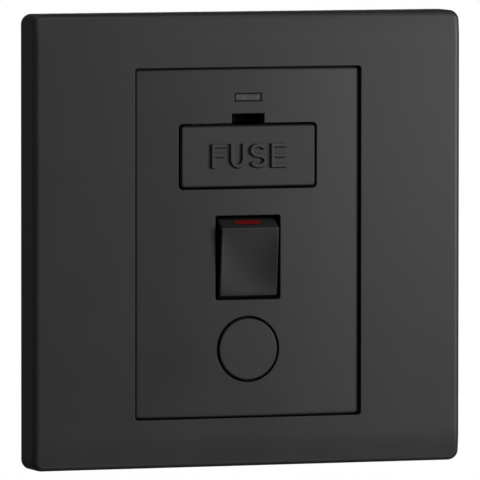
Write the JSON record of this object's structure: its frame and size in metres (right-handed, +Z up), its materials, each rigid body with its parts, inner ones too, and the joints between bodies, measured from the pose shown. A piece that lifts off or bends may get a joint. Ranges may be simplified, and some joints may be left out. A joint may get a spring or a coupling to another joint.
{
  "type": "fused spur unit",
  "caption": "Square wall plate with a push-in fuse drawer, a rocker switch with a red flash, an indicator window and a blanked cord outlet, over a shallow terminal housing.",
  "frame": {"origin": "the middle of the square plate, on the plane of the wall that it is fixed to", "axes": "+X to the right as seen from the room, +Z up, +Y into the wall box, so the front looks along -Y"},
  "size_m": [0.086, 0.0343, 0.086],
  "materials": {
    "surround_plastic": "fine matt",
    "moulding_plastic": "fine matt",
    "housing_plastic": "plain moulded",
    "drawer_plastic": "fine matt",
    "rocker_plastic": "satin",
    "blank_plastic": "fine matt",
    "flash_red": "satin",
    "lens_plastic": "frosted",
    "plunger_plastic": "plain moulded",
    "spring_steel": "drawn wire",
    "brass": "pressed",
    "zinc_steel": "zinc plated",
    "copper_arm": "pressed copper alloy",
    "contact_silver": "silver faced",
    "fuse_ceramic": "unglazed ceramic",
    "fuse_plating": "nickel plated",
    "board_green": "solder mask",
    "lamp_red": "clear coloured",
    "resistor_body": "painted",
    "lead_tin": "tinned"
  },
  "bodies": {
    "unit": {"surround_frame": "surround_plastic", "front_moulding": "moulding_plastic", "rear_housing": "housing_plastic", "cord_outlet_blank": "blank_plastic", "indicator_lens": "lens_plastic", "supply_live_terminal": "brass", "supply_neutral_terminal": "brass", "earth_terminal": "brass", "load_neutral_terminal": "brass", "load_live_terminal": "brass", "supply_live_strip": "brass", "fuse_clip_supply": "brass", "fuse_clip_load": "brass", "supply_neutral_strip": "brass", "load_neutral_strip": "brass", "supply_live_screw": "zinc_steel", "supply_neutral_screw": "zinc_steel", "earth_screw": "zinc_steel", "load_neutral_screw": "zinc_steel", "load_live_screw": "zinc_steel", "housing_screw_1": "zinc_steel", "housing_screw_2": "zinc_steel", "fixed_contact_live": "contact_silver", "fixed_contact_neutral": "contact_silver", "indicator_board": "board_green", "indicator_led": "lamp_red", "indicator_resistor": "resistor_body", "indicator_lead_neutral": "lead_tin", "indicator_lead_live": "lead_tin"},
    "switch_rocker": {"rocker": "rocker_plastic", "rocker_flash": "flash_red", "plunger_live": "plunger_plastic", "plunger_neutral": "plunger_plastic", "plunger_spring_live": "spring_steel", "plunger_spring_neutral": "spring_steel"},
    "arm_live": {"contact_arm_live": "copper_arm", "moving_contact_live": "contact_silver"},
    "arm_neutral": {"contact_arm_neutral": "copper_arm", "moving_contact_neutral": "contact_silver"},
    "fuse_drawer": {"fuse_carrier": "drawer_plastic", "fuse_barrel": "fuse_ceramic", "fuse_cap_left": "fuse_plating", "fuse_cap_right": "fuse_plating"}
  },
  "joints": [
    {"name": "rocker_pivot", "type": "hinge", "parent": "unit", "child": "switch_rocker", "pos_m": [0, 0.00014, -0.00339], "axis": [-1, 0, 0], "range_deg": [0, 11.1]},
    {"name": "arm_live_pivot", "type": "hinge", "parent": "unit", "child": "arm_live", "pos_m": [-0.0032, 0.0121, -0.00339], "axis": [1, 0, 0], "range_deg": [0, 17.3]},
    {"name": "arm_neutral_pivot", "type": "hinge", "parent": "unit", "child": "arm_neutral", "pos_m": [0.0032, 0.0121, -0.00339], "axis": [1, 0, 0], "range_deg": [0, 17.3]},
    {"name": "drawer_slide", "type": "slide", "parent": "unit", "child": "fuse_drawer", "axis": [0, -1, 0], "range_m": [0, 0.013]}
  ],
  "couplings": [
    {"joint": "arm_live_pivot", "follows": "rocker_pivot", "ratio": 1.55},
    {"joint": "arm_neutral_pivot", "follows": "rocker_pivot", "ratio": 1.55}
  ]
}
